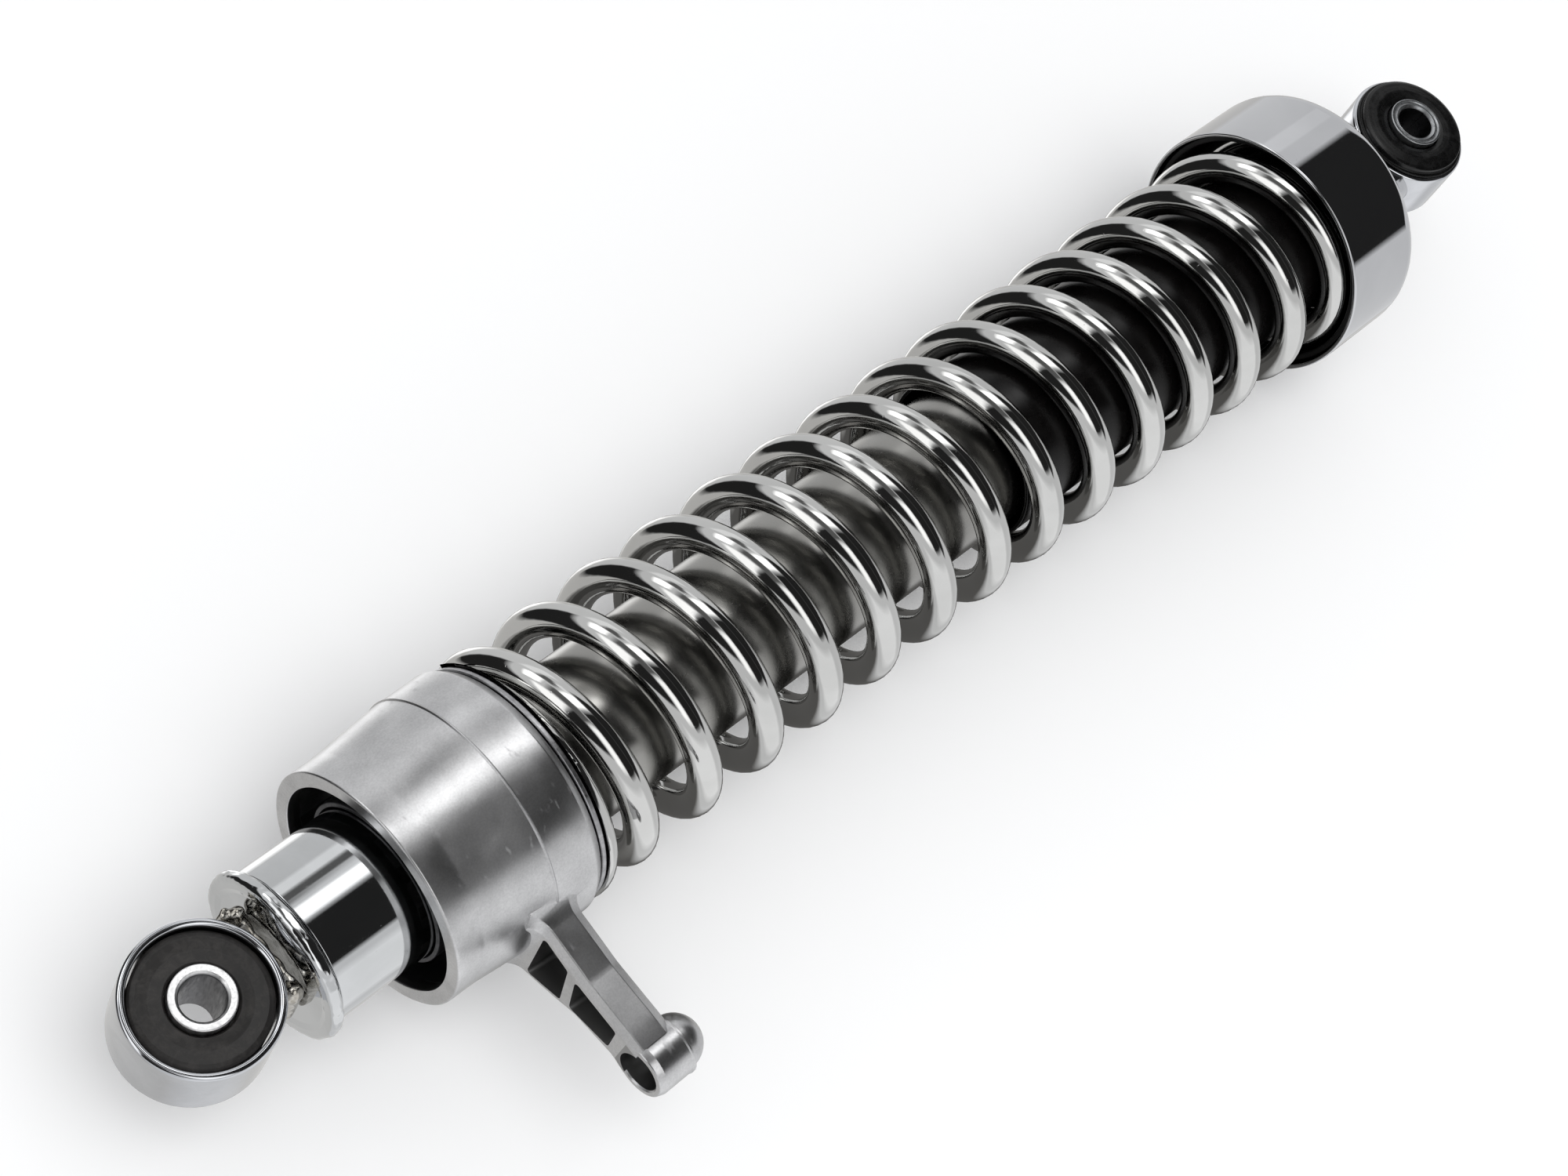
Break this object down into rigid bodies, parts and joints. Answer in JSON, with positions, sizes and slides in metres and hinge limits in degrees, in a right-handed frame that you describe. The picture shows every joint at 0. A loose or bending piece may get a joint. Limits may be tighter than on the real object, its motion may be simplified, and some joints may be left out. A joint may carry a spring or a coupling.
{
  "type": "motorcycle rear shock absorber",
  "caption": "Coil-over rear shock absorber with a rubber-bushed eye at each end, chromed spring and cap, and a cast preload adjuster with a lever.",
  "frame": {"origin": "centre of the upper eye, on the axis of its bolt bore", "axes": "+X along the damper axis away from the lower eye, +Z along both eye bores, -Y the side the preload lever points to"},
  "size_m": [0.3675, 0.087, 0.056],
  "materials": {
    "chrome": "bright plated",
    "cast_aluminium": "satin as-cast",
    "rubber": "matte",
    "black_plastic": "satin black",
    "steel": "machined",
    "bronze": "machined",
    "foam": "matte"
  },
  "bodies": {
    "top_eye": {"upper_eye": "chrome", "upper_eye_bush": "rubber", "rod_lock_nut": "steel", "piston_rod": "chrome", "rebound_bumper": "rubber", "piston": "steel", "piston_ring": "black_plastic", "shim_stack": "steel", "piston_nut": "steel"},
    "upper_sleeve": {"upper_eye_sleeve": "steel"},
    "cap": {"spring_cap": "chrome", "upper_spring_seat": "black_plastic", "dust_cover": "black_plastic", "bump_stop": "foam"},
    "spring_seat": {"lower_spring_seat": "steel", "spring": "chrome"},
    "adjuster": {"preload_adjuster": "cast_aluminium"},
    "damper": {"damper_tube": "chrome", "inner_cylinder": "steel", "foot_valve": "steel", "rod_guide": "cast_aluminium", "rod_bush": "bronze", "oil_seal": "rubber", "gland_ring": "steel", "cam_lugs": "steel", "bottom_cap": "chrome", "lower_eye_weld": "steel", "lower_eye": "chrome", "lower_eye_bush": "rubber"},
    "lower_sleeve": {"lower_eye_sleeve": "steel"}
  },
  "joints": [
    {"name": "upper_bush_twist", "type": "hinge", "parent": "top_eye", "child": "upper_sleeve", "pos_m": [0, 0, 0], "axis": [0, 0, 1], "range_deg": [-10, 10], "stiffness_Nm_per_rad": 3},
    {"name": "eye_swivel", "type": "hinge", "parent": "top_eye", "child": "cap", "pos_m": [0, 0, 0], "axis": [1, 0, 0], "continuous": true},
    {"name": "compression", "type": "slide", "parent": "cap", "child": "spring_seat", "axis": [1, 0, 0], "range_m": [0, 0.069], "stiffness_N_per_m": 20000, "springref_m": -0.015, "deforming": ["spring"]},
    {"name": "preload_turn", "type": "hinge", "parent": "spring_seat", "child": "adjuster", "pos_m": [-0.3038, 0, 0], "axis": [1, 0, 0], "range_deg": [-100, 0]},
    {"name": "preload_lift", "type": "slide", "parent": "spring_seat", "child": "damper", "axis": [-1, 0, 0], "range_m": [-0.006, 0]},
    {"name": "lower_bush_twist", "type": "hinge", "parent": "damper", "child": "lower_sleeve", "pos_m": [-0.34, 0, 0], "axis": [0, 0, 1], "range_deg": [-10, 10], "stiffness_Nm_per_rad": 3}
  ],
  "couplings": [
    {"joint": "preload_turn", "follows": "preload_lift", "rad_per_m": 290.88}
  ]
}
